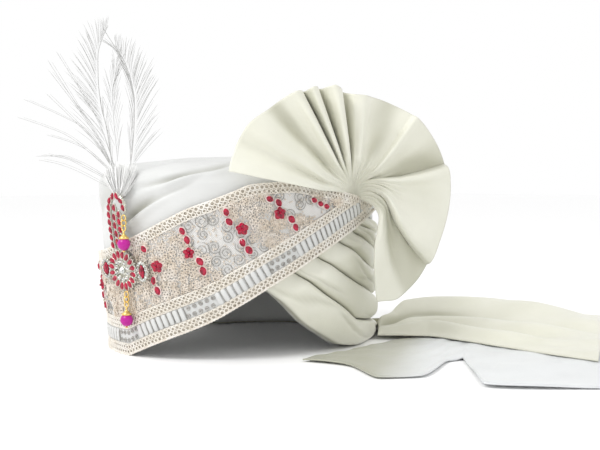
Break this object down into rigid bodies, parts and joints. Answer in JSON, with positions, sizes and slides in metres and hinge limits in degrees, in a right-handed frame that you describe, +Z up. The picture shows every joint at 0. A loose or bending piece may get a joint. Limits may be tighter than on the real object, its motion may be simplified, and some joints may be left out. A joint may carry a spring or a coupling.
{
  "type": "tied turban",
  "caption": "Wound cloth turban on a low rim, with an embroidered front band, a pleated side fan, a trailing tail, a jewelled brooch and a feather plume.",
  "frame": {"origin": "middle of the whole object's footprint, on the surface that it rests on", "axes": "+Z up, -Y the way the wearer faces, +X the wearer's left"},
  "size_m": [0.41, 0.4578, 0.2415],
  "materials": {
    "satin": "satin",
    "embroidered_net": "matte",
    "lace": "matte",
    "silver": "polished",
    "gold": "polished",
    "ruby": "gloss",
    "crystal": "gloss",
    "magenta_bead": "gloss",
    "feather": "matte"
  },
  "bodies": {
    "root": {"brooch_flower": "silver", "brooch_paisley": "silver", "centre_crystal": "crystal", "crown": "satin", "front_band": "embroidered_net", "left_side_ruby": "ruby", "left_side_setting": "silver", "lower_border": "lace", "lower_drop_bead": "magenta_bead", "lower_drop_cap": "gold", "lower_drop_link": "gold", "plume": "feather", "right_side_ruby": "ruby", "right_side_setting": "silver", "side_fan": "satin", "stone_spray_1": "ruby", "stone_spray_2": "ruby", "stone_spray_3": "ruby", "stone_spray_4": "ruby", "stone_spray_5": "ruby", "stone_spray_6": "ruby", "stone_spray_7": "ruby", "tail_lower": "satin", "tail_upper": "satin", "upper_border": "lace", "upper_drop_bead": "magenta_bead", "upper_drop_cap": "gold", "upper_drop_link": "gold", "wrap_roll_1": "satin", "wrap_roll_2": "satin", "wrap_roll_3": "satin", "wrap_roll_4": "satin", "wrap_roll_5": "satin", "wrap_roll_6": "satin"}
  },
  "joints": []
}
